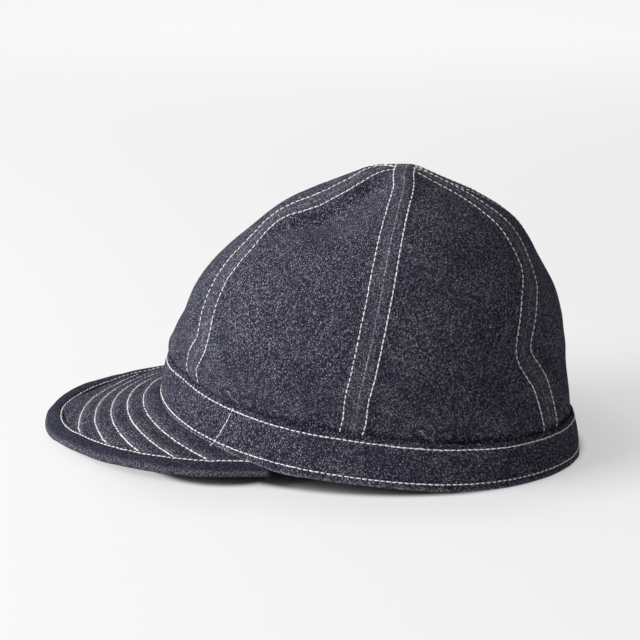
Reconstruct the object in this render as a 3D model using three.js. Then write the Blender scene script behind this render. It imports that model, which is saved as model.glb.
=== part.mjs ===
// A soft denim cap with six crown panels, a stitched band and a short stiffened peak.
// Millimetres, +Z up. The peak points to -Y and the wearer's left side is +X.
// The cap stands on a table: the band's rear edge and the peak's tip touch the plane z = 0.
// Angles run round the head opening in degrees, from 0 at the front to 90 at the wearer's left.
import * as THREE from "three";

// The head opening, measured along the band's lower edge
const OPENING_HALF_LENGTH = 105;
const OPENING_HALF_WIDTH = 81;

// The clearance between two pieces that are sewn together
const GAP = 0.3;

// The band
const BAND_HEIGHT = 20;
const BAND_WALL = 1.6;
const BAND_STEPS = { round: 90, up: 4 };

// The crown
const CROWN_WALL = 1.2;
const CROWN_TUCK = 4.5; // how far the crown reaches down behind the band
const APEX_HEIGHT = 134.6;
const APEX_OPENING = 1.6; // radius of the pinhole where the six panels meet
const FOOT_BLEND = 0.25; // share of the crown's rise over which it takes the band's outline
const PANEL_STEPS = { up: 15, across: 10 };

// The tape inside the band
const TAPE_WALL = 1.0;
const TAPE_TOP = 15;
const TAPE_CLEARANCE = 0.3; // its height over the table where the band touches it
const TAPE_STEPS = { round: 90, up: 3 };

// The peak
const PEAK_WALL = 1.6;
const PEAK_TUCK = 0.4; // how far it reaches in under the band's lower edge
const PEAK_END_ANGLE = 62;
const PEAK_SHORT = 5.6; // how far its own cloth ends short of the rim, inside the binding
const PEAK_STEPS = { round: 36, out: 8 };

// The binding, which thins towards its ends and slips in under the band there
const BINDING_WIDTH = 9;
const BINDING_WALL = 1.0;
const BINDING_END = { from: 60, to: 75, tuck: 3.2, thin: 0.45 };
const BINDING_STEPS = 46;

// The band round the head: height of its lower edge over the table, lean of its wall from
// upright, how much of its lower edge is cut back over the peak, the height above the opening's
// outline at which the peak's upper face leaves it, and the height of the tape's lower edge
const BAND = [
  { angle: 0, lift: 19.2, lean: 10, trim: 2, seat: 1.4, tape: 0.5 },
  { angle: 15, lift: 18.1, lean: 16.5, trim: 2, seat: 1.4, tape: 0.5 },
  { angle: 30, lift: 15.9, lean: 27, trim: 2, seat: 1.4, tape: 0.5 },
  { angle: 52, lift: 11.7, lean: 27.5, trim: 2, seat: 1.3, tape: 0.8 },
  { angle: 63, lift: 9.5, lean: 27, trim: 1.8, seat: 0.1, tape: 1.8 },
  { angle: 72, lift: 7.95, lean: 25.5, trim: 0.6, seat: -0.9, tape: 1.6 },
  { angle: 78, lift: 6.9, lean: 25.5, trim: 0, seat: -0.9, tape: 1 },
  { angle: 90, lift: 5.1, lean: 26, trim: 0, seat: -0.9, tape: 0.7 },
  { angle: 120, lift: 0.9, lean: 19, trim: 0, seat: 0, tape: -0.6 },
  { angle: 138, lift: 0, lean: 12.5, trim: 0, seat: 0, tape: 0.6 },
  { angle: 180, lift: 0, lean: 10, trim: 0, seat: 0, tape: 0.6 },
];

// The peak: how far its rim stands out from the band, and its slope below level
const PEAK = [
  { angle: 0, reach: 63.4, slope: 16.8 },
  { angle: 9, reach: 60, slope: 16.5 },
  { angle: 27, reach: 46.8, slope: 14.1 },
  { angle: 45, reach: 30, slope: 14.5 },
  { angle: 54, reach: 20.5, slope: 17.7 },
  { angle: 63, reach: 9.8, slope: 20.5 },
  { angle: 72, reach: 1.8, slope: 19 },
  { angle: 76, reach: 0.2, slope: 19 },
];

// The bend in the peak's rim, right of its tip: how far it curls up, its angle and its spread
// round the rim, and how far back from the rim it begins
const RIM_BEND = { rise: 3.1, angle: -8.5, wide: 9.3, back: 14 };

// The crown, a row for each section from the band up: its share of the rise to the apex, where
// it crosses the middle at front and rear, where its sides stand, its half width, and the angles
// at which the front, side and rear seams cross it
const SECTIONS = [
  { rise: 0, front: -99.5, side: 0, rear: 100.8, half: 69.3,
    frontSeam: 32, sideSeam: 90.5, rearSeam: 153 },
  { rise: 0.08, front: -96, side: 1, rear: 97.4, half: 71,
    frontSeam: 32, sideSeam: 91.6, rearSeam: 151.6 },
  { rise: 0.2, front: -92.3, side: 3.5, rear: 94.7, half: 71.2,
    frontSeam: 36.4, sideSeam: 91.2, rearSeam: 149.8 },
  { rise: 0.35, front: -86.7, side: 7, rear: 92, half: 69.2,
    frontSeam: 33.8, sideSeam: 91, rearSeam: 145 },
  { rise: 0.5, front: -77.1, side: 10, rear: 87.4, half: 64.5,
    frontSeam: 30.4, sideSeam: 90.9, rearSeam: 148 },
  { rise: 0.65, front: -61.5, side: 13.5, rear: 78.6, half: 57,
    frontSeam: 27, sideSeam: 89.9, rearSeam: 158 },
  { rise: 0.78, front: -45.6, side: 15.5, rear: 67.9, half: 46.5,
    frontSeam: 23, sideSeam: 89.5, rearSeam: 159.5 },
  { rise: 0.88, front: -27.6, side: 16.5, rear: 49.6, half: 34,
    frontSeam: 30.5, sideSeam: 89.8, rearSeam: 163.5 },
  { rise: 0.945, front: -12.2, side: 17, rear: 32.3, half: 22.3,
    frontSeam: 35, sideSeam: 91, rearSeam: 168 },
  { rise: 0.985, front: -0.5, side: 16, rear: 21.5, half: 11,
    frontSeam: 35.5, sideSeam: 90.8, rearSeam: 166.5 },
  { rise: 1, front: 15.9, side: 15.9, rear: 15.9, half: 0,
    frontSeam: 32, sideSeam: 90, rearSeam: 166 },
];

// Where the opening's outline is pressed in, over how wide an angle
const PRESSED_IN = { depth: 8, angle: -155, wide: 26, fades: 0.3 };

// The soft folds: swell (or hollow, where negative), its place, and its spread each way
const FOLDS = [
  { name: "hollow behind the front-left seam", swell: -5.2, angle: 50, rise: 0.85, wide: 22, tall: 0.075 },
  { name: "puff over the temple", swell: 1.6, angle: 62, rise: 0.12, wide: 26, tall: 0.09 },
  { name: "rear-left dent", swell: -3.6, angle: 148, rise: 0.34, wide: 13, tall: 0.09 },
  { name: "swell above the dent", swell: 1.8, angle: 143, rise: 0.55, wide: 16, tall: 0.1 },
  { name: "rear hollow", swell: -1.8, angle: 176, rise: 0.6, wide: 16, tall: 0.08 },
  { name: "front-right hollow", swell: -2.2, angle: -58, rise: 0.8, wide: 26, tall: 0.09 },
  { name: "rear-right dent", swell: -2.4, angle: -138, rise: 0.42, wide: 15, tall: 0.12 },
  { name: "right temple puff", swell: 1.4, angle: -70, rise: 0.14, wide: 28, tall: 0.1 },
];

const DENIM = { color: 0x2b2c3e, roughness: 0.95, metalness: 0 };
const TAPE = { color: 0x6b5a45, roughness: 0.9, metalness: 0 };

const radians = THREE.MathUtils.degToRad;
const up = new THREE.Vector3(0, 0, 1);

// The slope at each row of a table, level at turning points so that a curve never overshoots.
function rowSlopes(rows, key, value) {
  const secants = rows.slice(1).map((row, i) => (row[value] - rows[i][value]) / (row[key] - rows[i][key]));
  return rows.map((row, i) => {
    if (i === 0 || i === rows.length - 1) return 0;
    const [before, after] = [secants[i - 1], secants[i]];
    return before * after > 0 ? (2 * before * after) / (before + after) : 0;
  });
}

// The smooth value of one column of a table at x.
function columnAt(rows, key, value, x) {
  const clamped = THREE.MathUtils.clamp(x, rows[0][key], rows[rows.length - 1][key]);
  let i = 0;
  while (i < rows.length - 2 && clamped > rows[i + 1][key]) i += 1;
  const slopes = rowSlopes(rows, key, value);
  const span = rows[i + 1][key] - rows[i][key];
  const t = (clamped - rows[i][key]) / span;
  const ease = t * t * (3 - 2 * t);
  return (
    rows[i][value] * (1 - ease) +
    rows[i + 1][value] * ease +
    span * t * (1 - t) * (slopes[i] * (1 - t) - slopes[i + 1] * t)
  );
}

// An angle brought back to between -180 and 180.
const wrapped = (angle) => THREE.MathUtils.euclideanModulo(angle + 180, 360) - 180;
const bandValue = (value, angle) => columnAt(BAND, "angle", value, Math.abs(wrapped(angle)));
const peakValue = (value, angle) => columnAt(PEAK, "angle", value, Math.abs(angle));

// How far the opening's outline is pressed in at an angle.
function pressedIn(angle) {
  const turn = wrapped(angle - PRESSED_IN.angle) / PRESSED_IN.wide;
  return PRESSED_IN.depth * Math.exp(-turn * turn);
}

// A point of the band's outer face, or set in behind it, at a height above its lower outline.
function bandPoint(angle, height, inset = 0) {
  const a = radians(angle);
  const inward = height * Math.tan(radians(bandValue("lean", angle))) + inset + pressedIn(angle);
  return new THREE.Vector3(
    (OPENING_HALF_WIDTH - inward) * Math.sin(a),
    -(OPENING_HALF_LENGTH - inward) * Math.cos(a),
    bandValue("lift", angle) + height,
  );
}

// The level direction square to the opening's outline, pointing away from the head.
function outward(angle) {
  const a = radians(angle);
  return new THREE.Vector3(
    Math.sin(a) / OPENING_HALF_WIDTH,
    -Math.cos(a) / OPENING_HALF_LENGTH,
    0,
  ).normalize();
}

// The sections numbered from 0 to 1, so that the crowded rows near the apex stay smooth.
const NUMBERED = SECTIONS.map((row, i) => ({ ...row, level: i / (SECTIONS.length - 1) }));
const sectionValue = (value, level) => columnAt(NUMBERED, "level", value, level);

function foldSwell(angle, rise) {
  return FOLDS.reduce((sum, fold) => {
    const turn = wrapped(angle - fold.angle) / fold.wide;
    const climb = (rise - fold.rise) / fold.tall;
    return sum + fold.swell * Math.exp(-turn * turn - climb * climb);
  }, 0);
}

// A point of the crown's outer face. Levels under 0 lie behind the band.
function crownPoint(angle, level) {
  const inset = BAND_WALL + GAP;
  const foot = bandPoint(angle, BAND_HEIGHT + Math.min(level, 0) * CROWN_TUCK, inset);
  if (level <= 0) return foot;
  const a = radians(angle);
  const rise = sectionValue("rise", level);
  const side = sectionValue("side", level);
  const reach = Math.cos(a) > 0 ? side - sectionValue("front", level) : sectionValue("rear", level) - side;
  const pressed = pressedIn(angle) * (1 - THREE.MathUtils.smoothstep(rise, 0, PRESSED_IN.fades));
  const shaped = new THREE.Vector3(
    (sectionValue("half", level) - pressed) * Math.sin(a),
    side - (reach - pressed) * Math.cos(a),
    foot.z + rise * (APEX_HEIGHT - foot.z),
  );
  const freed = THREE.MathUtils.smoothstep(rise, 0, FOOT_BLEND);
  const away = outward(angle).multiplyScalar(1 - rise).addScaledVector(up, rise).normalize();
  foot.z = shaped.z;
  return foot.lerp(shaped, freed).addScaledVector(away, freed * foldSwell(angle, rise));
}

// The crown's outward direction, from how its face runs a little way round and up.
function crownNormal(angle, level) {
  const turn = 1;
  const step = 0.01;
  const high = Math.min(level + step, 1 - step);
  const round = crownPoint(angle + turn, high).sub(crownPoint(angle - turn, high));
  const climb = crownPoint(angle, high).sub(crownPoint(angle, high - 2 * step));
  return round.cross(climb).normalize();
}

// A closed wall from rows of points: each row holds the outer and the inner face's points, as
// many on each. The rows join end to end when the wall runs round.
function wallGeometry(rows, runsRound = false) {
  const across = rows[0].outer.length;
  const positions = [];
  rows.forEach(({ outer, inner }) => [...outer, ...inner].forEach((p) => positions.push(p.x, p.y, p.z)));
  const place = (row, side, i) => (row % rows.length) * 2 * across + side * across + i;
  const faces = [];
  const quad = (a, b, c, d) => faces.push(a, b, c, a, c, d);
  const last = across - 1;
  const spans = runsRound ? rows.length : rows.length - 1;
  for (let row = 0; row < spans; row += 1) {
    const next = row + 1;
    for (let i = 0; i < last; i += 1) {
      quad(place(row, 0, i), place(row, 0, i + 1), place(next, 0, i + 1), place(next, 0, i));
      quad(place(row, 1, i + 1), place(row, 1, i), place(next, 1, i), place(next, 1, i + 1));
    }
    quad(place(row, 1, 0), place(row, 0, 0), place(next, 0, 0), place(next, 1, 0));
    quad(place(row, 0, last), place(row, 1, last), place(next, 1, last), place(next, 0, last));
  }
  if (!runsRound) {
    const top = rows.length - 1;
    for (let i = 0; i < last; i += 1) {
      quad(place(0, 0, i), place(0, 1, i), place(0, 1, i + 1), place(0, 0, i + 1));
      quad(place(top, 1, i), place(top, 0, i), place(top, 0, i + 1), place(top, 1, i + 1));
    }
  }
  const geometry = new THREE.BufferGeometry();
  geometry.setAttribute("position", new THREE.Float32BufferAttribute(positions, 3));
  geometry.setIndex(faces);
  geometry.computeVertexNormals();
  return geometry;
}

const steps = (count, from, to) =>
  Array.from({ length: count + 1 }, (_, i) => THREE.MathUtils.lerp(from, to, i / count));

// The level at which the crown has shrunk to the pinhole at the apex.
function topLevel() {
  const step = 0.0005;
  let level = 1;
  while (sectionValue("half", level) < APEX_OPENING) level -= step;
  return level;
}

// One crown panel between two seams, given as functions of the level.
function panelGeometry(seamFrom, seamTo) {
  const levels = [-1, -0.5, ...steps(PANEL_STEPS.up, 0, topLevel())];
  const rows = levels.map((level) => {
    const at = Math.max(level, 0);
    const clear = (angle) => {
      const perDegree = crownPoint(angle + 0.5, level).distanceTo(crownPoint(angle - 0.5, level));
      return GAP / 2 / perDegree;
    };
    const from = seamFrom(at) + clear(seamFrom(at));
    const to = seamTo(at) - clear(seamTo(at));
    const angles = steps(PANEL_STEPS.across, from, to);
    const outer = angles.map((angle) => crownPoint(angle, level));
    const behind = (p, i) => p.clone().addScaledVector(crownNormal(angles[i], level), -CROWN_WALL);
    const inner = outer.map(behind);
    return { outer, inner };
  });
  return wallGeometry(rows);
}

const frontSeam = (side) => (level) => side * sectionValue("frontSeam", level);
const rearSeam = (side) => (level) => side * sectionValue("rearSeam", level);
const sideSeam = (side) => (level) => side * sectionValue("sideSeam", level);
const roundTheBack = (seam) => (level) => 360 + seam(level);

const PANELS = [
  { name: "panel_front", from: frontSeam(-1), to: frontSeam(1) },
  { name: "panel_front_left", from: frontSeam(1), to: sideSeam(1) },
  { name: "panel_rear_left", from: sideSeam(1), to: rearSeam(1) },
  { name: "panel_rear", from: rearSeam(1), to: roundTheBack(rearSeam(-1)) },
  { name: "panel_rear_right", from: rearSeam(-1), to: sideSeam(-1) },
  { name: "panel_front_right", from: sideSeam(-1), to: frontSeam(-1) },
];

// A strip round the whole opening, between two heights given for each angle.
function stripGeometry(grid, lowest, highest, inset, wall) {
  const angles = steps(grid.round, 0, 360).slice(0, -1);
  const rows = angles.map((angle) => {
    const path = steps(grid.up, highest, lowest(angle));
    return {
      outer: path.map((height) => bandPoint(angle, height, inset)),
      inner: path.map((height) => bandPoint(angle, height, inset + wall)),
    };
  });
  return wallGeometry(rows, true);
}

function bandGeometry() {
  return stripGeometry(BAND_STEPS, (angle) => bandValue("trim", angle), BAND_HEIGHT, 0, BAND_WALL);
}

function tapeGeometry() {
  const lowest = (angle) => Math.max(bandValue("tape", angle), TAPE_CLEARANCE - bandValue("lift", angle));
  return stripGeometry(TAPE_STEPS, lowest, TAPE_TOP, BAND_WALL + GAP, TAPE_WALL);
}

// How far the bend lifts the peak at a distance out from the band.
function bendLift(angle, out) {
  const turn = (angle - RIM_BEND.angle) / RIM_BEND.wide;
  const reach = peakValue("reach", angle);
  const share = THREE.MathUtils.smoothstep(out, reach - RIM_BEND.back, reach);
  return RIM_BEND.rise * Math.exp(-turn * turn) * share;
}

// A point of the peak: how far out from the band, and how high over its upper face. It slopes
// down outside the band and is level under it.
function peakPoint(angle, out, over) {
  const slope = radians(peakValue("slope", angle));
  const fall = Math.max(out, 0) * Math.sin(slope);
  return bandPoint(angle, bandValue("seat", angle))
    .addScaledVector(outward(angle), out * Math.cos(slope) + over * Math.sin(slope))
    .addScaledVector(up, over * Math.cos(slope) - fall + bendLift(angle, out));
}

function peakGeometry() {
  const rows = steps(PEAK_STEPS.round, -PEAK_END_ANGLE, PEAK_END_ANGLE).map((angle) => {
    const path = steps(PEAK_STEPS.out, -PEAK_TUCK, peakValue("reach", angle) - PEAK_SHORT);
    return {
      outer: path.map((out) => peakPoint(angle, out, 0)),
      inner: path.map((out) => peakPoint(angle, out, -PEAK_WALL)),
    };
  });
  return wallGeometry(rows);
}

// The binding's section from lip to nose: the distance back from the rim, half the thickness
// over its outer and its inner face, and how far back the inner face stays at the least. Its
// inner face clears the peak's two faces by 0.3.
const BINDING_FACE = [
  { back: BINDING_WIDTH, outer: 2.1, inner: 1.1, least: 3.7 },
  { back: 5, outer: 2.6, inner: 1.1, least: 2.5 },
  { back: 1.4, outer: 1.9, inner: 0.55, least: 1.4 },
  { back: 0.3, outer: 0.9, inner: 0.25, least: 1.1 },
];

function bindingGeometry() {
  const middle = -PEAK_WALL / 2;
  const rows = steps(BINDING_STEPS, -BINDING_END.to, BINDING_END.to).map((angle) => {
    const reach = peakValue("reach", angle);
    const ending = THREE.MathUtils.smoothstep(Math.abs(angle), BINDING_END.from, BINDING_END.to);
    const tuck = THREE.MathUtils.lerp(PEAK_TUCK, BINDING_END.tuck, ending);
    const thin = 1 - BINDING_END.thin * ending;
    const shrink = Math.min(1, (reach + tuck) / BINDING_WIDTH);
    const path = [];
    BINDING_FACE.forEach((row) => path.push({ ...row, side: 1 }));
    [...BINDING_FACE].reverse().forEach((row) => path.push({ ...row, side: -1 }));
    const at = (row, half, least) =>
      peakPoint(angle, reach - Math.max(row.back * shrink, least), middle + row.side * half);
    return {
      outer: path.map((row) => at(row, BINDING_WALL + (row.outer - BINDING_WALL) * thin, 0)),
      inner: path.map((row) => at(row, row.inner * thin, row.least)),
    };
  });
  return wallGeometry(rows);
}

function piece(name, geometry, finish) {
  const mesh = new THREE.Mesh(geometry, new THREE.MeshStandardMaterial(finish));
  mesh.name = name;
  return mesh;
}

const cap = new THREE.Group();
PANELS.forEach(({ name, from, to }) => cap.add(piece(name, panelGeometry(from, to), DENIM)));
cap.add(piece("band", bandGeometry(), DENIM));
cap.add(piece("peak", peakGeometry(), DENIM));
cap.add(piece("peak_binding", bindingGeometry(), DENIM));
cap.add(piece("sweatband", tapeGeometry(), TAPE));

// The origin is the middle of the cap's footprint, on the table.
const extent = new THREE.Box3().setFromObject(cap);
cap.position.y = -(extent.min.y + extent.max.y) / 2;
cap.position.z = -extent.min.z;

export default cap;
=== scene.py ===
# The denim cap: its cloth, stitching, light and camera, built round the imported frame.
import math

import bmesh
import bpy
import numpy as np
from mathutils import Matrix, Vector
from mathutils.bvhtree import BVHTree
from mathutils.kdtree import KDTree


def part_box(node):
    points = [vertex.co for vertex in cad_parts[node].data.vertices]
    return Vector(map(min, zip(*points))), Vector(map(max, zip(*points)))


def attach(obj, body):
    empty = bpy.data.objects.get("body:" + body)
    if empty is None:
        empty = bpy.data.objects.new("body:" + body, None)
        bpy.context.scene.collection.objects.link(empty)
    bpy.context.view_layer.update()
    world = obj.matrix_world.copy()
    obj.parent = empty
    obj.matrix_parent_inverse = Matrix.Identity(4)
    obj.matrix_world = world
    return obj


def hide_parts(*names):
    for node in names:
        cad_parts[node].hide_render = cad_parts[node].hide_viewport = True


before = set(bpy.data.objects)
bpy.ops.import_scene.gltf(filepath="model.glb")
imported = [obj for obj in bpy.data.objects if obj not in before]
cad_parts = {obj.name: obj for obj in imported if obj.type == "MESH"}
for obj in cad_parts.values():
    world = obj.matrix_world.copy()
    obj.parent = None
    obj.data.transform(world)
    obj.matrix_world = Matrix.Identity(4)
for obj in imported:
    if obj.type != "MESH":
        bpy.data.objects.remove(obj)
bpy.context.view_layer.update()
print("frame loaded")

millimetre = 0.001

# The cap's form in millimetres, round the middle of the head opening. Angles run from 0 at the
# front to 90 at the wearer's left.
opening = {"halfLength": 105, "halfWidth": 81}
cloth = {"gap": 0.3, "bandHeight": 20, "bandWall": 1.6, "crownWall": 1.2, "crownTuck": 4.5, "peakWall": 1.6}
crown = {"apexHeight": 134.6, "footBlend": 0.25, "pole": 0.3}
pressed = {"depth": 8, "angle": -155, "wide": 26, "fades": 0.3}
rimBend = {"rise": 3.1, "angle": -8.5, "wide": 9.3, "back": 14}

bandRows = {
    "angle": [0, 15, 30, 52, 63, 72, 78, 90, 120, 138, 180],
    "lift": [19.2, 18.1, 15.9, 11.7, 9.5, 7.95, 6.9, 5.1, 0.9, 0, 0],
    "lean": [10, 16.5, 27, 27.5, 27, 25.5, 25.5, 26, 19, 12.5, 10],
    "trim": [2, 2, 2, 2, 1.8, 0.6, 0, 0, 0, 0, 0],
    "seat": [1.4, 1.4, 1.4, 1.3, 0.1, -0.9, -0.9, -0.9, 0, 0, 0],
    "tape": [0.5, 0.5, 0.5, 0.8, 1.8, 1.6, 1, 0.7, -0.6, 0.6, 0.6],
}
peakRows = {
    "angle": [0, 9, 27, 45, 54, 63, 72, 76],
    "reach": [63.4, 60, 46.8, 30, 20.5, 9.8, 1.8, 0.2],
    "slope": [16.8, 16.5, 14.1, 14.5, 17.7, 20.5, 19, 19],
}
crownRows = {
    "level": [0, 0.1, 0.2, 0.3, 0.4, 0.5, 0.6, 0.7, 0.8, 0.9, 1],
    "rise": [0, 0.08, 0.2, 0.35, 0.5, 0.65, 0.78, 0.88, 0.945, 0.985, 1],
    "front": [-99.5, -96, -92.3, -86.7, -77.1, -61.5, -45.6, -27.6, -12.2, -0.5, 15.9],
    "side": [0, 1, 3.5, 7, 10, 13.5, 15.5, 16.5, 17, 16, 15.9],
    "rear": [100.8, 97.4, 94.7, 92, 87.4, 78.6, 67.9, 49.6, 32.3, 21.5, 15.9],
    "half": [69.3, 71, 71.2, 69.2, 64.5, 57, 46.5, 34, 22.3, 11, 0],
    "frontSeam": [32, 32, 36.4, 33.8, 30.4, 27, 23, 30.5, 35, 35.5, 32],
    "sideSeam": [90.5, 91.6, 91.2, 91, 90.9, 89.9, 89.5, 89.8, 91, 90.8, 90],
    "rearSeam": [153, 151.6, 149.8, 145, 148, 158, 159.5, 163.5, 168, 166.5, 166],
}
foldRows = {
    "swell": [-5.2, 1.6, -3.6, 1.8, -1.8, -2.2, -2.4, 1.4],
    "angle": [50, 62, 148, 143, 176, -58, -138, -70],
    "rise": [0.85, 0.12, 0.34, 0.55, 0.6, 0.8, 0.42, 0.14],
    "wide": [22, 26, 13, 16, 16, 26, 15, 28],
    "tall": [0.075, 0.09, 0.09, 0.1, 0.08, 0.09, 0.12, 0.1],
}


def smoothStep(x, low, high):
    t = np.clip((x - low) / (high - low), 0, 1)
    return t * t * (3 - 2 * t)


def hump(x, wide):
    return np.exp(-((x / wide) ** 2))


# The smooth value of one column at x: it never overshoots its rows.
def columnAt(rows, key, value, x):
    xs, ys = np.array(rows[key], float), np.array(rows[value], float)
    secants = np.diff(ys) / np.diff(xs)
    before, after = secants[:-1], secants[1:]
    same = before * after > 0
    slopes = np.zeros(len(xs))
    slopes[1:-1] = np.where(same, 2 * before * after / np.where(same, before + after, 1), 0)
    x = np.clip(np.asarray(x, float), xs[0], xs[-1])
    i = np.clip(np.searchsorted(xs, x) - 1, 0, len(xs) - 2)
    span = xs[i + 1] - xs[i]
    t = (x - xs[i]) / span
    ease = t * t * (3 - 2 * t)
    bend = span * t * (1 - t) * (slopes[i] * (1 - t) - slopes[i + 1] * t)
    return ys[i] * (1 - ease) + ys[i + 1] * ease + bend


def wrapped(angle):
    return (np.asarray(angle, float) + 180) % 360 - 180


def bandValue(value, angle):
    return columnAt(bandRows, "angle", value, np.abs(wrapped(angle)))


def peakValue(value, angle):
    return columnAt(peakRows, "angle", value, np.abs(wrapped(angle)))


def crownValue(value, level):
    return columnAt(crownRows, "level", value, level)


def pressedIn(angle):
    return pressed["depth"] * hump(wrapped(angle - pressed["angle"]), pressed["wide"])


def stack(x, y, z):
    return np.stack(np.broadcast_arrays(x, y, z), axis=-1).astype(float)


def unit(v):
    return v / np.maximum(np.linalg.norm(v, axis=-1, keepdims=True), 1e-9)


# A point of the band's outer face, or set in behind it, at a height over its lower outline.
def bandPoint(angle, height, inset=0):
    a = np.radians(angle)
    inward = height * np.tan(np.radians(bandValue("lean", angle))) + inset + pressedIn(angle)
    x = (opening["halfWidth"] - inward) * np.sin(a)
    y = -(opening["halfLength"] - inward) * np.cos(a)
    return stack(x, y, bandValue("lift", angle) + height)


def outward(angle):
    a = np.radians(angle)
    return unit(stack(np.sin(a) / opening["halfWidth"], -np.cos(a) / opening["halfLength"], 0))


def foldSwell(angle, rise):
    total = 0
    for swell, at, height, wide, tall in zip(*foldRows.values()):
        total = total + swell * hump(wrapped(angle - at), wide) * hump(rise - height, tall)
    return total


# A point of the crown's outer face. Levels under 0 lie behind the band.
def crownPoint(angle, level):
    angle, level = np.broadcast_arrays(np.asarray(angle, float), np.asarray(level, float))
    inset = cloth["bandWall"] + cloth["gap"]
    foot = bandPoint(angle, cloth["bandHeight"] + np.minimum(level, 0) * cloth["crownTuck"], inset)
    a, up = np.radians(angle), np.maximum(level, 0)
    rise, side = crownValue("rise", up), crownValue("side", up)
    reach = np.where(np.cos(a) > 0, side - crownValue("front", up), crownValue("rear", up) - side)
    dent = pressedIn(angle) * (1 - smoothStep(rise, 0, pressed["fades"]))
    z = foot[..., 2] + rise * (crown["apexHeight"] - foot[..., 2])
    shaped = stack((crownValue("half", up) - dent) * np.sin(a), side - (reach - dent) * np.cos(a), z)
    freed = smoothStep(rise, 0, crown["footBlend"])[..., None]
    away = unit(outward(angle) * (1 - rise[..., None]) + stack(0, 0, rise))
    foot[..., 2] = z
    swelled = away * freed * foldSwell(angle, rise)[..., None]
    return foot * (1 - freed) + shaped * freed + swelled


# A point of the peak: how far out from the band, and how high over its upper face. It slopes
# down outside the band and is level under it.
def peakPoint(angle, out, over):
    slope = np.radians(peakValue("slope", angle))
    level = out * np.cos(slope) + over * np.sin(slope)
    lift = over * np.cos(slope) - np.maximum(out, 0) * np.sin(slope)
    reach = peakValue("reach", angle)
    bend = rimBend["rise"] * hump(angle - rimBend["angle"], rimBend["wide"])
    lift = lift + bend * smoothStep(out, reach - rimBend["back"], reach)
    return bandPoint(angle, bandValue("seat", angle)) + outward(angle) * level[..., None] + stack(0, 0, lift)


# Smooth noise from -1 to 1, with bumps of about the given size.
def softNoise(x, y, size, seed):
    side = 512
    lattice = np.random.default_rng(seed).uniform(-1, 1, (side, side))
    i, j = np.floor(x / size).astype(int), np.floor(y / size).astype(int)
    s, t = x / size - i, y / size - j
    s, t = s * s * (3 - 2 * s), t * t * (3 - 2 * t)
    low = lattice[i % side, j % side] * (1 - s) + lattice[(i + 1) % side, j % side] * s
    high = lattice[i % side, (j + 1) % side] * (1 - s) + lattice[(i + 1) % side, (j + 1) % side] * s
    return low * (1 - t) + high * t


# Layers of that noise, each with its rise, size and seed.
def uneven(x, y, layers):
    return sum(rise * softNoise(x, y, size, seed) for rise, size, seed in layers)


# Places in the frame: the band's rearmost point settles where the opening's middle lies.
allRound = np.linspace(-180, 180, 1441)
rearMost = bandPoint(allRound, 0)[:, 1].max()
shift = np.array([0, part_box("band")[1][1] / millimetre - rearMost, 0])


def toFrame(points):
    return (np.asarray(points, float) + shift) * millimetre


def placed(name, data):
    thing = bpy.data.objects.new(name, data)
    bpy.context.scene.collection.objects.link(thing)
    return thing


# A mesh from a grid of points in millimetres, with its cloth coordinates as a UV map in millimetres
# and the wear at each point, with painted shade where it is below 0.
def gridPiece(name, points, uv, wearAndShade, closed=(False, False)):
    rows, columns = points.shape[:2]
    tall, wide = rows - (not closed[0]), columns - (not closed[1])
    i, j = np.meshgrid(np.arange(tall), np.arange(wide), indexing="ij")
    corners = [(i, j), (i + 1, j), (i + 1, j + 1), (i, j + 1)]
    faces = np.stack([(a % rows) * columns + b % columns for a, b in corners], axis=-1).reshape(-1, 4)
    uvs = np.stack([uv[a, b] for a, b in corners], axis=2).reshape(-1, 2)
    mesh = bpy.data.meshes.new(name)
    mesh.from_pydata(toFrame(points).reshape(-1, 3).tolist(), [], faces.tolist())
    mesh.uv_layers.new(name="cloth").data.foreach_set("uv", uvs.astype(np.float32).ravel())
    worn = mesh.attributes.new("wearAndShade", "FLOAT", "POINT")
    worn.data.foreach_set("value", np.asarray(wearAndShade, np.float32).ravel())
    mesh.shade_smooth()
    return placed(name, mesh)


# Takes a piece's modifiers into its mesh.
def settle(piece):
    evaluated = piece.evaluated_get(bpy.context.evaluated_depsgraph_get())
    mesh = bpy.data.meshes.new_from_object(evaluated)
    piece.modifiers.clear()
    piece.data = mesh
    mesh.name = piece.name


def gridNormals(points, inside):
    up, across = np.gradient(points, axis=0), np.gradient(points, axis=1)
    normals = unit(np.cross(across, up))
    facing = np.sign(((points - inside) * normals).sum(-1).mean())
    return normals * facing


def lengths(path):
    return np.concatenate([[0], np.cumsum(np.linalg.norm(np.diff(path, axis=0), axis=1))])


def resampled(path, step):
    along = lengths(path)
    at = np.linspace(0, along[-1], max(2, int(along[-1] / step) + 1))
    return np.stack([np.interp(at, along, path[:, k]) for k in range(3)], axis=1)


# Materials
def socketValue(tree, socket, value):
    if isinstance(value, bpy.types.NodeSocket):
        tree.links.new(value, socket)
    else:
        socket.default_value = value


def addNode(tree, kind, inputs=(), **settings):
    made = tree.nodes.new(kind)
    for name, value in settings.items():
        setattr(made, name, value)
    for key, value in (inputs.items() if isinstance(inputs, dict) else enumerate(inputs)):
        socketValue(tree, made.inputs[key], value)
    return made


def calc(tree, operation, *values):
    return addNode(tree, "ShaderNodeMath", values, operation=operation).outputs[0]


def times(tree, first, second):
    return calc(tree, "MULTIPLY", first, second)


def timesPlus(tree, first, second, third):
    return calc(tree, "MULTIPLY_ADD", first, second, third)


def vectorCalc(tree, operation, *values):
    return addNode(tree, "ShaderNodeVectorMath", values, operation=operation).outputs[0]


def combined(tree, *values):
    return addNode(tree, "ShaderNodeCombineXYZ", values).outputs[0]


def spread(tree, value, low, high, to=(0, 1)):
    inputs = {"Value": value, "From Min": low, "From Max": high, "To Min": to[0], "To Max": to[1]}
    return addNode(tree, "ShaderNodeMapRange", inputs, interpolation_type="SMOOTHSTEP").outputs[0]


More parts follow.
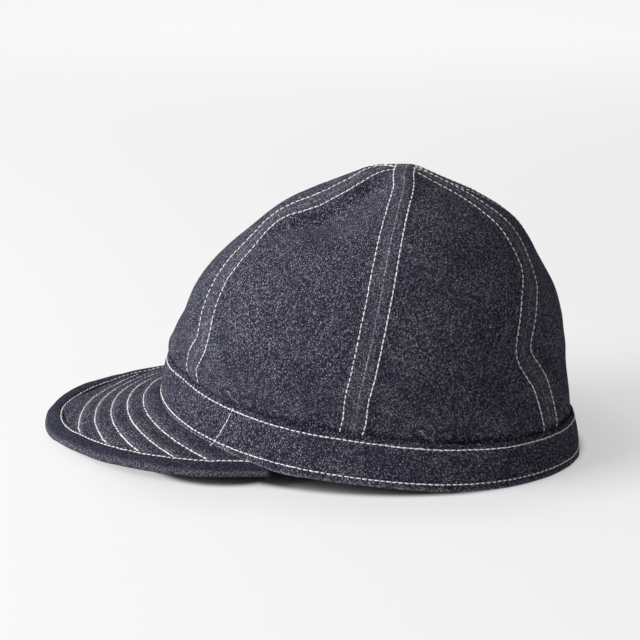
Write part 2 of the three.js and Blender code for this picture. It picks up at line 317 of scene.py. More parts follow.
def mixColour(tree, factor, first, second):
    inputs = {0: factor, 6: first, 7: second}
    return addNode(tree, "ShaderNodeMix", inputs, data_type="RGBA").outputs[2]


def noise(tree, vector, scale, detail=2, roughness=0.5):
    inputs = {"Vector": vector, "Scale": scale, "Detail": detail, "Roughness": roughness}
    return addNode(tree, "ShaderNodeTexNoise", inputs).outputs["Fac"]


# One random value from 0 to 1 for each cell of a grid.
def cellNoise(tree, cell):
    return addNode(tree, "ShaderNodeTexWhiteNoise", {"Vector": cell}, noise_dimensions="2D").outputs["Value"]


def addBump(tree, shader, height, look):
    inputs = {"Strength": look["bump"], "Distance": look["bumpHeight"], "Height": height}
    tree.links.new(addNode(tree, "ShaderNodeBump", inputs).outputs[0], shader.inputs["Normal"])


def newMaterial(name, values):
    material = bpy.data.materials.new(name)
    material.use_nodes = True
    shader = material.node_tree.nodes["Principled BSDF"]
    for key, value in values.items():
        shader.inputs[key].default_value = value
    return material, material.node_tree, shader


# A node group from its inputs and outputs, as names and kinds.
def newGroup(name, kind, inputs, outputs):
    tree = bpy.data.node_groups.new(name, kind)
    for way, sockets in (("INPUT", inputs), ("OUTPUT", outputs)):
        for label, holds in sockets.items():
            tree.interface.new_socket(label, in_out=way, socket_type="NodeSocket" + holds)
    return tree, tree.nodes.new("NodeGroupInput").outputs, tree.nodes.new("NodeGroupOutput").inputs


# Twill cloth: pale weft dots between dark warp yarns, fine specks, grain, slubs and blotches.
# Scales are to a millimetre of cloth. Pairs named with Range fade from the first to the second.
twillLook = {
    "wanderScale": 0.45,
    "wander": (1.3, 1.3, 0),
    "repeat": 3,  # yarns from one dot to the next
    "dotShare": 0.2,
    "weftWay": (0.07, 3.7),  # how fast a weft yarn's light changes along it and across it
    "warpWay": (3.1, 0.06, 5),
    "runRange": (0.3, 0.72),
    "rare": 0.987,  # dots over this chance are white
    "dotPower": 3,
    "dotLight": (1.15, 0.05),  # gain and least light of the other dots
    "weftLight": (0.9, 0.5),
    "fleck": 0.44,
    "warpLight": 0.02,
    "speckScale": (2.8, 2.8, 0),
    "speckPower": 12,
    "lint": 0.9992,  # specks over this chance are lint
    "speck": 0.84,
    "grainScale": 2.3,
    "grainRange": (0.5, 0.8),
    "slubScale": 0.9,
    "slubRange": (0.62, 0.78),
    "slub": 0.5,
    "blotchScale": 0.06,
    "spotScale": 1.25,
    "spotRange": (0.5, 0.62),
    "spotLight": 0.75,  # light of worn places: spots, grain and the least
    "spotGrain": (0.5, 0.03),
    "ridgeHeight": 0.35,
    "grainHeight": 0.2,
    "speckHeight": 0.6,
}


def twillGroup():
    look = twillLook
    inputs = {"Cloth": "Vector"} | dict.fromkeys(("Yarn", "Dots", "Slubs", "Blotch", "WearAndShade"), "Float")
    outputs = {"Light": "Float", "Height": "Float"}
    tree, given, result = newGroup("twill", "ShaderNodeTree", inputs, outputs)
    place = given["Cloth"]

    # Dots where the weft passes over the warp
    wanderInputs = {"Vector": place, "Scale": look["wanderScale"], "Detail": 2}
    wander = addNode(tree, "ShaderNodeTexNoise", wanderInputs).outputs["Color"]
    wander = vectorCalc(tree, "SUBTRACT", wander, (0.5, 0.5, 0.5))
    moved = vectorCalc(tree, "ADD", place, vectorCalc(tree, "MULTIPLY", wander, look["wander"]))
    apart = addNode(tree, "ShaderNodeSeparateXYZ", (moved,)).outputs
    u, v = (calc(tree, "DIVIDE", apart[k], given["Yarn"]) for k in (0, 1))
    warp, weft = calc(tree, "FLOOR", u), calc(tree, "FLOOR", v)
    turn = calc(tree, "FRACT", calc(tree, "DIVIDE", calc(tree, "ADD", warp, weft), look["repeat"]))
    dot = calc(tree, "LESS_THAN", turn, look["dotShare"])
    chance = cellNoise(tree, combined(tree, warp, weft, 0))
    along, across = look["weftWay"]
    weftWay = combined(tree, times(tree, u, along), times(tree, weft, across), 0)
    across, along, aside = look["warpWay"]
    warpWay = combined(tree, times(tree, warp, across), times(tree, v, along), aside)
    weftRun, warpRun = (spread(tree, noise(tree, way, 1, 1), *look["runRange"]) for way in (weftWay, warpWay))
    rare = calc(tree, "GREATER_THAN", chance, look["rare"])
    dotLight = timesPlus(tree, calc(tree, "POWER", chance, look["dotPower"]), *look["dotLight"])
    dotLight = calc(tree, "ADD", dotLight, rare)
    fleck = times(tree, dotLight, timesPlus(tree, weftRun, *look["weftLight"]))
    fleck = times(tree, dot, fleck)

    # Specks, grain, slubs and blotches over them
    grain = spread(tree, noise(tree, place, look["grainScale"], 2, 0.7), *look["grainRange"])
    speckCell = vectorCalc(tree, "FLOOR", vectorCalc(tree, "MULTIPLY", moved, look["speckScale"]))
    speckChance = cellNoise(tree, speckCell)
    lint = calc(tree, "GREATER_THAN", speckChance, look["lint"])
    speck = calc(tree, "ADD", calc(tree, "POWER", speckChance, look["speckPower"]), lint)
    slub = spread(tree, noise(tree, place, look["slubScale"], 1, 0.4), *look["slubRange"])
    blotch = noise(tree, place, look["blotchScale"], 3, 0.6)
    light = timesPlus(tree, speck, look["speck"], times(tree, fleck, look["fleck"]))
    light = times(tree, light, given["Dots"])
    light = timesPlus(tree, grain, given["Slubs"], light)
    light = timesPlus(tree, slub, times(tree, given["Slubs"], look["slub"]), light)
    light = timesPlus(tree, warpRun, look["warpLight"], light)
    shade = timesPlus(tree, calc(tree, "SUBTRACT", blotch, 0.5), given["Blotch"], 1)
    light = times(tree, light, shade)

    # Wear, in spots, and painted shade where it is below 0
    spots = spread(tree, noise(tree, place, look["spotScale"], 1), *look["spotRange"])
    spotGrain = timesPlus(tree, grain, *look["spotGrain"])
    spots = timesPlus(tree, spots, look["spotLight"], spotGrain)
    wearAndShadeHere = times(tree, given["WearAndShade"], spots)
    tree.links.new(calc(tree, "ADD", light, wearAndShadeHere), result["Light"])

    # Height of the yarns
    diagonal = times(tree, calc(tree, "ADD", u, v), 2 * math.pi / look["repeat"])
    yarn, pick = (calc(tree, "ABSOLUTE", calc(tree, "SINE", times(tree, way, math.pi))) for way in (u, v))
    yarns = times(tree, yarn, pick)
    height = timesPlus(tree, calc(tree, "SINE", diagonal), look["ridgeHeight"], yarns)
    height = timesPlus(tree, speck, look["speckHeight"], height)
    height = timesPlus(tree, grain, look["grainHeight"], height)
    tree.links.new(height, result["Height"])
    return tree


twill = twillGroup()

denimLook = {
    "dark": (0.0095, 0.009, 0.0245, 1),
    "pale": (0.47, 0.465, 0.545, 1),
    "shader": {
        "Roughness": 0.95,
        "Specular IOR Level": 0.08,
        "Sheen Weight": 0.035,
        "Sheen Roughness": 0.5,
        "Sheen Tint": (0.7, 0.75, 1, 1),
    },
    "bump": 0.5,
    "bumpHeight": 0.00025,
    "blotch": 1.6,
}


def denimMaterial(name, dots=1, slubs=0.035, yarn=0.38, dark=denimLook["dark"], pale=denimLook["pale"]):
    material, tree, shader = newMaterial(name, denimLook["shader"])
    place = addNode(tree, "ShaderNodeUVMap", uv_map="cloth").outputs[0]
    wearAndShade = addNode(tree, "ShaderNodeAttribute", attribute_name="wearAndShade").outputs["Fac"]
    values = {"Cloth": place, "Yarn": yarn, "Dots": dots, "Slubs": slubs, "WearAndShade": wearAndShade}
    values["Blotch"] = denimLook["blotch"]
    weave = addNode(tree, "ShaderNodeGroup", values, node_tree=twill)
    colour = mixColour(tree, weave.outputs["Light"], dark, pale)
    tree.links.new(colour, shader.inputs["Base Color"])
    addBump(tree, shader, weave.outputs["Height"], denimLook)
    return material


threadLook = {
    "colour": (0.94, 0.94, 0.92),
    "dirt": 0.88,  # light of its dirty places against the rest
    "dirtScale": 260,
    "dirtRange": (0.35, 0.75),
    "fibreScale": 5200,
    "bump": 0.5,
    "bumpHeight": 0.0001,
    "shader": {"Roughness": 0.75, "Sheen Weight": 0.2},
}


def threadMaterial(name):
    material, tree, shader = newMaterial(name, threadLook["shader"])
    place = addNode(tree, "ShaderNodeTexCoord").outputs["Object"]
    dirt = spread(tree, noise(tree, place, threadLook["dirtScale"]), *threadLook["dirtRange"])
    fibre = noise(tree, place, threadLook["fibreScale"])
    colour = threadLook["colour"]
    shade = mixColour(tree, dirt, (*[c * threadLook["dirt"] for c in colour], 1), (*colour, 1))
    tree.links.new(shade, shader.inputs["Base Color"])
    addBump(tree, shader, fibre, threadLook)
    return material


crownDenim = denimMaterial("crown denim")
innerDenim = denimMaterial("crown denim reverse", dots=0.3, slubs=0.6, dark=(0.11, 0.11, 0.13, 1))
bandDenim = denimMaterial("band denim", dots=0.85, slubs=0.03, yarn=0.45)
peakDenim = denimMaterial("peak denim", dots=0.8, slubs=0.06)
# The binding's cloth has fewer pale dots, a painted shade for the shade that it lies in.
shadedBindingDenim = denimMaterial("binding denim with painted shade", dots=0.38, slubs=0.02)
tapeBrown = {"dark": (0.12, 0.08, 0.045, 1), "pale": (0.3, 0.23, 0.15, 1)}
tapeCloth = denimMaterial("brown tape", dots=0.3, slubs=0.3, **tapeBrown)
threadWhite = threadMaterial("pale thread")
print("materials made")


# The crown
seamLook = {
    "raised": 0.4,
    "groove": 0.35,
    "grooveWide": 0.35,
    "dimple": 0.32,
    "dimpleWide": 0.6,
    "pitch": 2.75,
}
rowPlaces = {"height": [20, 45, 95, 132], "away": [5, 5.4, 5.4, 4.7]}
crownMiddle = (0, 10, 50)  # a point inside the crown
seamsAbout = (0, 10, 40)  # a point inside it that the seams are seen from
levelsDown = np.linspace(1, 0.9, 400)
poleLevel = np.interp(crown["pole"], crownValue("half", levelsDown), levelsDown)
climb = np.linspace(0, poleLevel, 900)


# A seam's angle at each level: side 1 is the wearer's left, and -1 the right.
def seamLine(column, side, turn=0):
    return lambda level: turn + side * crownValue(column, np.maximum(level, 0))


def seamPath(seam):
    levels = np.concatenate([np.linspace(-1, 0, 20)[:-1], climb])
    return resampled(crownPoint(seam(levels), levels), 0.25)


sideSeamPaths = [seamPath(seamLine("sideSeam", side)) for side in (1, -1)]
sideSeamPath = np.concatenate([sideSeamPaths[0], sideSeamPaths[1][::-1]])
otherSeams = [(column, side) for column in ("frontSeam", "rearSeam") for side in (1, -1)]
otherSeamPaths = [seamPath(seamLine(*seam)) for seam in otherSeams]


def treeOf(paths):
    points = np.concatenate(paths)
    tree = KDTree(len(points))
    for i, p in enumerate(points):
        tree.insert(p, i)
    tree.balance()
    along = np.concatenate([lengths(p) for p in paths])
    return tree, along


def nearest(found, points):
    tree, along = found
    hits = [tree.find(p)[1:] for p in points.reshape(-1, 3)]
    index, distance = np.array([h[0] for h in hits]), np.array([h[1] for h in hits])
    return distance.reshape(points.shape[:2]), along[index].reshape(points.shape[:2])


sideTree, otherTree = treeOf([sideSeamPath]), treeOf(otherSeamPaths)


# Where the rows of stitches run beside a seam, at a height of the cloth.
def rowOffset(z):
    return np.interp(z, rowPlaces["height"], rowPlaces["away"])


# How far each stitch of a row pulls the cloth in, as a share that rises and falls along the row.
def pulledIn(along):
    return 0.7 + 0.3 * np.cos(2 * math.pi * along / seamLook["pitch"])


# The cloth's relief beside a seam: raised allowance, groove at the join, and dimples at the stitches.
def seamRelief(distance, along, z):
    row = rowOffset(z)
    raised = seamLook["raised"] * (1 - smoothStep(distance, row + 0.3, row + 2.2))
    groove = seamLook["groove"] * hump(distance, seamLook["grooveWide"])
    dimple = seamLook["dimple"] * hump(distance - row, seamLook["dimpleWide"]) * pulledIn(along)
    return raised, groove + dimple


panelLook = {
    "rows": 141,
    "columns": 113,
    "crowding": 0.118,  # how far the columns crowd towards the seams
    "crossing": (3.5, 5.5),  # how far from the side seams the others' grooves fade
    "free": (5, 16),  # how far from a seam the cloth is free to be uneven
    "soft": ((0.45, 21, 7), (0.2, 8, 8)),  # rise, size and seed of that unevenness
    "gather": 0.7,  # rise of the gathers over the band
    "puff": 1.1,  # how far it swells over the band at the front
    "crease": 0.6,  # how deep it is drawn in along the band elsewhere
    "sideWear": 1.1,  # wear on the side seam, on the others and beside them, and the painted shade that darkens the crease
    "seamWear": 0.7,
    "rowWear": 0.15,
    "creaseShade": 0.6,
}
# The step down behind the upper part of the front-left seam: where it starts and stops in height,
# how far from that seam it drops and fades out, and how far from the side seam it fades.
ridgeLook = {
    "panel": "panel_front_left",
    "depth": 3.6,
    "starts": (103, 112),
    "stops": (128, 133),
    "drop": (4.5, 12),
    "fades": (14, 42),
    "sideFades": (3, 16),
}


def panelPiece(name, seamFrom, seamTo, seed):
    def climbed(levels):
        return lengths(crownPoint((seamFrom(levels) + seamTo(levels)) / 2, levels))

    levels = np.concatenate([np.linspace(-1, 0, 7)[:-1], climb])
    along = climbed(levels)
    levels = np.interp(np.linspace(0, along[-1], panelLook["rows"]), along, levels)
    t = np.linspace(0, 1, panelLook["columns"])
    t = t - panelLook["crowding"] * np.sin(2 * math.pi * t)
    angles = seamFrom(levels)[:, None] * (1 - t) + seamTo(levels)[:, None] * t
    points = crownPoint(angles, levels[:, None])
    normals = gridNormals(points, crownMiddle)
    across = np.cumsum(np.linalg.norm(np.diff(points, axis=1, prepend=points[:, :1]), axis=2), axis=1)
    across -= across[:, -1:] / 2
    up = np.broadcast_to(climbed(levels)[:, None], across.shape)
    z = points[..., 2]

    # Relief at the seams, and between them
    toSide, alongSide = nearest(sideTree, points)
    toOther, alongOther = nearest(otherTree, points)
    sideRaised, sideCut = seamRelief(toSide, alongSide, z)
    otherRaised, otherCut = seamRelief(toOther, alongOther, z)
    otherCut = otherCut * smoothStep(toSide, *panelLook["crossing"])
    relief = np.maximum(sideRaised, otherRaised) - sideCut - otherCut
    away = np.minimum(toSide, toOther)
    free = smoothStep(away, *panelLook["free"])
    soft = uneven(across + 300 * seed, up, panelLook["soft"][:1])
    soft = soft + uneven(across, up + 90 * seed, panelLook["soft"][1:])
    relief = relief + soft * (0.35 + 0.65 * free)

    # Relief over the band: gathers, a swelling at the front and a crease elsewhere
    height = z - (bandValue("lift", angles) + cloth["bandHeight"])
    gather = softNoise(wrapped(angles) * 1.3 + 400, np.full_like(z, 3.0), 5.5, 9)
    relief = relief + panelLook["gather"] * gather * hump(height - 2, 4.5)
    front = 1 - smoothStep(np.abs(wrapped(angles)), 45, 75)
    swelling = smoothStep(height, -0.5, 2) * (1 - smoothStep(height, 4, 11))
    relief = relief + panelLook["puff"] * front * swelling
    relief = relief - panelLook["crease"] * (1 - front) * hump(height, 1.5)
    if name == ridgeLook["panel"]:
        ridge = smoothStep(z, *ridgeLook["starts"]) * (1 - smoothStep(z, *ridgeLook["stops"]))
        behind = smoothStep(toOther, *ridgeLook["drop"]) * (1 - smoothStep(toOther, *ridgeLook["fades"]))
        relief = relief - ridgeLook["depth"] * ridge * behind * smoothStep(toSide, *ridgeLook["sideFades"])
    points = points + normals * relief[..., None]
    wearAndShade = panelLook["sideWear"] * hump(toSide, 0.7) + panelLook["seamWear"] * hump(toOther, 0.7)
    wearAndShade = wearAndShade + panelLook["rowWear"] * hump(away - 2.4, 1.8)
    # Painted shade: the crease along the band, away from the front, is made darker.
    wearAndShade = wearAndShade - panelLook["creaseShade"] * (1 - front) * hump(height - 0.5, 1.5)
    return gridPiece(name + "_cloth", points, np.stack([across, up], axis=-1), wearAndShade)


panelSeams = {
    "panel_front": (("frontSeam", -1), ("frontSeam", 1)),
    "panel_front_left": (("frontSeam", 1), ("sideSeam", 1)),
    "panel_rear_left": (("sideSeam", 1), ("rearSeam", 1)),
    "panel_rear": (("rearSeam", 1), ("rearSeam", -1, 360)),
    "panel_rear_right": (("rearSeam", -1, 360), ("sideSeam", -1, 360)),
    "panel_front_right": (("sideSeam", -1), ("frontSeam", -1)),
}
surfacePoints, surfaceFaces = [], []


def remember(piece):
    start = len(surfacePoints)
    surfacePoints.extend([v.co[:] for v in piece.data.vertices])
    surfaceFaces.extend([[start + i for i in p.vertices] for p in piece.data.polygons])


def finishPiece(piece, node, material=None):
    if material:
        piece.data.materials.append(material)
    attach(piece, "root")
    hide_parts(node)


for seed, (name, (first, second)) in enumerate(panelSeams.items()):
    piece = panelPiece(name, seamLine(*first), seamLine(*second), seed)
    face = piece.data.polygons[len(piece.data.polygons) // 2]
    if face.normal.dot(face.center - Vector(toFrame(crownMiddle))) < 0:
        piece.data.flip_normals()
    remember(piece)
    wall = piece.modifiers.new("wall", "SOLIDIFY")
    wall.thickness = cloth["crownWall"] * millimetre
    wall.offset = -1
    wall.material_offset = 1
    piece.data.materials.append(crownDenim)
    piece.data.materials.append(innerDenim)
    settle(piece)
    finishPiece(piece, name)
print("crown made")


# The band
bandLook = {
    "rows": (3.42, 17.78),  # heights of its two rows of stitches
    "middle": 10.6,  # middle height of the part between the rows, and half its width
    "half": 7.2,
    "puff": 0.35,
    "dimple": 0.3,
    "dimpleWide": 0.7,
    "wave": 0.28,  # how far its top edge waves
    "ripple": ((0.22, 6, 32), (0.3, 24, 33)),
    "faceSteps": 46,
    "lower": (0.45, 0.8, 66, 11),  # how far it comes down on the peak, and further at its ends
    "short": (0.6, 98, 15),  # how far its lower edge is drawn up behind the peak
    "lipIn": 0.5,  # how far its top edge leans in at the front
}


# A closed section of a strip: round folds at both edges, as pairs of height and inset.
def stripSection(low, high, wall, faceSteps, foldSteps=6):
    half = wall / 2
    turn = np.linspace(0, math.pi, foldSteps + 1)
    face = np.linspace(low + half, high - half, faceSteps + 1)
    outer = [(h, 0) for h in face]
    top = [(high - half + half * math.sin(t), half - half * math.cos(t)) for t in turn[1:-1]]
    inner = [(h, wall) for h in face[::-1]]
    bottom = [(low + half - half * math.sin(t), half + half * math.cos(t)) for t in turn[1:-1]]
    return np.array(outer + top + inner + bottom)


def bandPiece():
    angles = np.linspace(0, 360, 901)
    turn = np.abs(wrapped(angles))
    overPeak = 1 - smoothStep(turn, 72, 80)
    lower, further, at, wide = bandLook["lower"]
    trim = bandValue("trim", angles) - lower * overPeak - further * hump(turn - at, wide)
    short, at, wide = bandLook["short"]
    trim = trim + short * hump(turn - at, wide)
    points, uv, wearAndShade = [], [], []
    for angle, low, along in zip(angles, trim, lengths(bandPoint(angles, 8))):
        high = cloth["bandHeight"] + bandLook["wave"] * float(softNoise(along, np.array(2.0), 7, 31))
        section = stripSection(low, high, cloth["bandWall"], bandLook["faceSteps"])
        height, inset = section[:, 0], section[:, 1].copy()
        outer = inset < cloth["bandWall"] / 2
        dimples = sum(hump(height - row, bandLook["dimpleWide"]) for row in bandLook["rows"])
        fromMiddle = (height - bandLook["middle"]) / bandLook["half"]
        puff = bandLook["puff"] * np.clip(1 - fromMiddle * fromMiddle, 0, 1)
        ripple = uneven(along + 0 * height, height, bandLook["ripple"])
        inset -= np.where(outer, puff + ripple - bandLook["dimple"] * pulledIn(along) * dimples, 0)
        inset += bandLook["lipIn"] * hump(wrapped(angle), 40) * smoothStep(height, 16, 20)
        points.append(bandPoint(angle, height, inset))
        # Wear along the lower edge; less along the top fold, a painted shade over the light that falls on it.
        wearAndShade.append(hump(height - low, 0.9) - 0.25 * hump(height - cloth["bandHeight"], 1.1))
        across = np.concatenate([[0], np.cumsum(np.hypot(*np.diff(section, axis=0).T))])
        across = np.append(across, across[-1] + 0.3)
        uv.append(np.stack([np.full(len(across), along), across], axis=-1))
    return gridPiece("band_cloth", np.array(points)[:-1], np.array(uv), wearAndShade[:-1], closed=(True, True))


# Turns the faces of a closed piece outward: its volume is then over 0.
def turnedOut(piece):
    at = np.array([v.co[:] for v in piece.data.vertices])
    quads = np.array([p.vertices[:] for p in piece.data.polygons])
    halves = [at[quads[:, 0]] * np.cross(at[quads[:, k]], at[quads[:, k + 1]]) for k in (1, 2)]
    if np.sum(halves) < 0:
        piece.data.flip_normals()
    return piece


band = turnedOut(bandPiece())
remember(band)
finishPiece(band, "band", bandDenim)
print("band made")


# The peak and its binding
peakLook = {
    "apart": 8.28,  # between its rows of stitches
    "rows": 5,
    "puff": 0.7,
    "dimple": 0.3,
    "dimpleWide": 0.7,
    "soft": ((0.3, 16, 41), (0.12, 5, 42)),
    "tuck": 1.5,  # how far it reaches in under the band
    "endAngle": 62,
    "short": 4,  # how far it stops short of the rim, inside the binding
}
bindingLook = {
    "stitch": 9.02,  # its row of stitches, back from the rim
    "lip": 10,  # its sewn edge, back from the rim
    "nose": 2.4,  # how far back its rounded rim ends
    "inside": 3.5,  # how far back its inner face turns, and the depth of that turn
    "insideTurn": 1.6,
    "wall": 1,
    "middle": -0.8,  # height of its middle over the peak's upper face
    "thinsFrom": 50,
    "endAngle": 71,
    "thin": 0.95,
    "soft": ((0.25, 9, 51), (0.12, 4, 52)),
    "lift": 0.9,  # how far its ends rise under the band
    "tuck": (1, 3.2),  # how far it reaches in under the band along its sides and at its ends
}
bindingRows = {"back": [0, 2.4, 5, 7.5, 9, 10], "half": [2.2, 2.35, 2.6, 2.35, 1.95, 1.9]}


def peakPiece():
    angles = np.linspace(-peakLook["endAngle"], peakLook["endAngle"], 361)
    reach = peakValue("reach", angles) - peakLook["short"]
    t = np.linspace(0, 1, 111)
    out = -peakLook["tuck"] + (reach[:, None] + peakLook["tuck"]) * t
    run = lengths(bandPoint(angles, 0))[:, None] + 0 * out
    number = out / peakLook["apart"]
    nearRow = np.abs(number - np.clip(np.round(number), 1, peakLook["rows"])) * peakLook["apart"]
    sewn = hump(nearRow, peakLook["dimpleWide"])
    puff = peakLook["puff"] * smoothStep(nearRow, 0, 3.2)
    relief = puff - peakLook["dimple"] * sewn * pulledIn(run) + uneven(run, out, peakLook["soft"])
    relief = relief * smoothStep(out, -1, 2)
    top = peakPoint(angles[:, None], out, relief)
    below = peakPoint(angles[:, None], out, -cloth["peakWall"] - 0.3 * puff + 0.2 * sewn)
    points = np.concatenate([top, below[:, ::-1]], axis=1)
    span = np.concatenate([out, (2 * reach[:, None] - out)[:, ::-1], out[:, :1] + 300], axis=1)
    uv = np.stack([np.broadcast_to(run[:, :1], span.shape), span], axis=-1)
    wearAndShade = np.concatenate([0.35 * hump(nearRow - 1.1, 0.8), 0 * nearRow], axis=1)
    return gridPiece("peak_cloth", points, uv, wearAndShade, closed=(False, True))


# The binding's section, as distance back from the rim and height over its middle.
def bindingSection():
    lip, nose, wall = (bindingLook[k] for k in ("lip", "nose", "wall"))
    turn = np.linspace(0, math.pi / 2, 10)[1:]
    back = np.concatenate([np.linspace(lip, nose, 26), nose * (1 - np.sin(turn))])
    half = columnAt(bindingRows, "back", "half", back) * np.sqrt(1 - np.clip(1 - back / nose, 0, 1) ** 2)
    outer = list(zip(back, half)) + list(zip(back[-2::-1], -half[-2::-1]))
    inside, depth = bindingLook["inside"], bindingLook["insideTurn"]
    backInside = np.linspace(lip, inside, 12)
    halfInside = columnAt(bindingRows, "back", "half", backInside) - wall
    inner = list(zip(backInside, -halfInside))
    turns = (1.1, 0.6, 0, -0.6, -1.1)
    inner += [(inside - depth * math.cos(t), -halfInside[-1] * math.sin(t)) for t in turns]
    inner += list(zip(backInside[::-1], halfInside[::-1]))
    return np.array(outer + inner), len(outer)


def bindingPiece():
    angles = np.linspace(-bindingLook["endAngle"], bindingLook["endAngle"], 441)
    section, outerCount = bindingSection()
    isOuter = np.arange(len(section)) < outerCount
    back, half = section[None, :, 0], section[None, :, 1]
    ending = smoothStep(np.abs(angles), bindingLook["thinsFrom"], bindingLook["endAngle"])[:, None]
    tuck = bindingLook["tuck"][0] * (1 - ending) + bindingLook["tuck"][1] * ending
    thin = bindingLook["thin"] * ending
    spare = np.maximum(np.abs(half) - bindingLook["wall"], 0)
    half = np.where(isOuter, half - np.sign(half) * spare * thin, half * (1 - thin))
    reach = peakValue("reach", angles)[:, None]
    shrink = np.minimum(1, (reach + tuck) / bindingLook["lip"])
    rim = peakPoint(angles, reach[:, 0], np.zeros(len(angles)))
    run = lengths(rim)[:, None] + 0 * back
    stitch = hump(back - bindingLook["stitch"], 0.6)
    soft = uneven(run, back + 0 * run, bindingLook["soft"])
    change = np.where(isOuter, soft - 0.35 * stitch * pulledIn(run), 0)
    change = change * np.sign(half) * (1 - 0.7 * ending)
    lipWave = 0.22 * softNoise(run, 0 * run, 6, 53) * smoothStep(back, 7.5, 10) * (1 - ending)
    over = bindingLook["middle"] + bindingLook["lift"] * ending + half + change
    points = peakPoint(angles[:, None], reach - back * shrink + lipWave, over)
    along = np.concatenate([[0], np.cumsum(np.hypot(*np.diff(section, axis=0).T))])
    along = np.append(along, along[-1] + bindingLook["wall"])
    uv = np.stack(np.broadcast_arrays(run[:, :1], along[None, :]), axis=-1)
    wearAndShade = np.where(isOuter, 0.5 * hump(back, 1.4) + 0.5 * hump(back - 9.8, 0.6), 0) + 0 * run
    return gridPiece("binding_cloth", points, uv, wearAndShade, closed=(False, True))


def closeEnds(piece):
    made = bmesh.new()
    made.from_mesh(piece.data)
    rim = [e for e in made.edges if e.is_boundary]
    bmesh.ops.holes_fill(made, edges=rim, sides=0)
    bmesh.ops.recalc_face_normals(made, faces=made.faces)
    made.to_mesh(piece.data)
    made.free()
    piece.data.shade_smooth()
    return piece


peak = closeEnds(peakPiece())
remember(peak)
finishPiece(peak, "peak", peakDenim)
binding = closeEnds(bindingPiece())
remember(binding)
finishPiece(binding, "peak_binding", shadedBindingDenim)
print("peak made")


# The tape inside the band
tapeLook = {"wall": 1, "top": 15, "clearance": 0.2, "sagAngle": 117, "sag": 0.4, "soft": ((0.15, 5, 61),)}


def tapePiece():
    angles = np.linspace(0, 360, 541)
    sag = tapeLook["sag"] * hump(np.abs(wrapped(angles)) - tapeLook["sagAngle"], 7)
    low = np.maximum(bandValue("tape", angles) - sag, tapeLook["clearance"] - bandValue("lift", angles))
    run = lengths(bandPoint(angles, 0))
    inset = cloth["bandWall"] + cloth["gap"]
    points, uv = [], []
    for angle, foot, length in zip(angles, low, run):
        section = stripSection(foot, tapeLook["top"], tapeLook["wall"], 16, 4)
        height, depth = section[:, 0], section[:, 1]
        soft = uneven(length + 0 * height, height, tapeLook["soft"])
        points.append(bandPoint(angle, height, inset + depth + soft))
        span = np.append(np.cumsum(np.hypot(*np.diff(section, axis=0, prepend=section[:1]).T)), 40)
        uv.append(np.stack([np.full(len(span), length), span], axis=-1))
    wearAndShade = np.zeros((len(angles) - 1, len(points[0])))
    return gridPiece("tape_cloth", np.array(points)[:-1], np.array(uv), wearAndShade, closed=(True, True))


tape = turnedOut(tapePiece())
finishPiece(tape, "sweatband", tapeCloth)
print("tape made")

# Stitching
stitchLook = {
    "thread": 0.3,
    "sink": 0.28,
    "rise": 0.24,
    "sway": ((-0.03, -0.08, -0.11), (0.03, 0.08, 0.11)),
    "size": ((0.9, 0.9, 0.85), (1.07, 1.12, 1.15)),
    "from": 21,  # height over the band's lower outline at which the crown's rows begin
}
surface = BVHTree.FromPolygons(surfacePoints, surfaceFaces)


# The places on the cloth nearest to a row's points, and the way that the cloth faces there.
def onCloth(points):
    hits = [surface.find_nearest(Vector(p)) for p in toFrame(points)]
    return [hit[0][:] for hit in hits], [hit[1][:] for hit in hits]


def besideSeam(path, side):
    ahead = unit(np.gradient(path, axis=0))
    lateral = unit(np.cross(unit(path - np.array(seamsAbout)), ahead))
    return path + lateral * side * rowOffset(path[:, 2])[:, None]


def randomVector(tree, low, high, seed):
    inputs = {"Min": low, "Max": high, "Seed": seed}
    return addNode(tree, "FunctionNodeRandomValue", inputs, data_type="FLOAT_VECTOR").outputs[0]


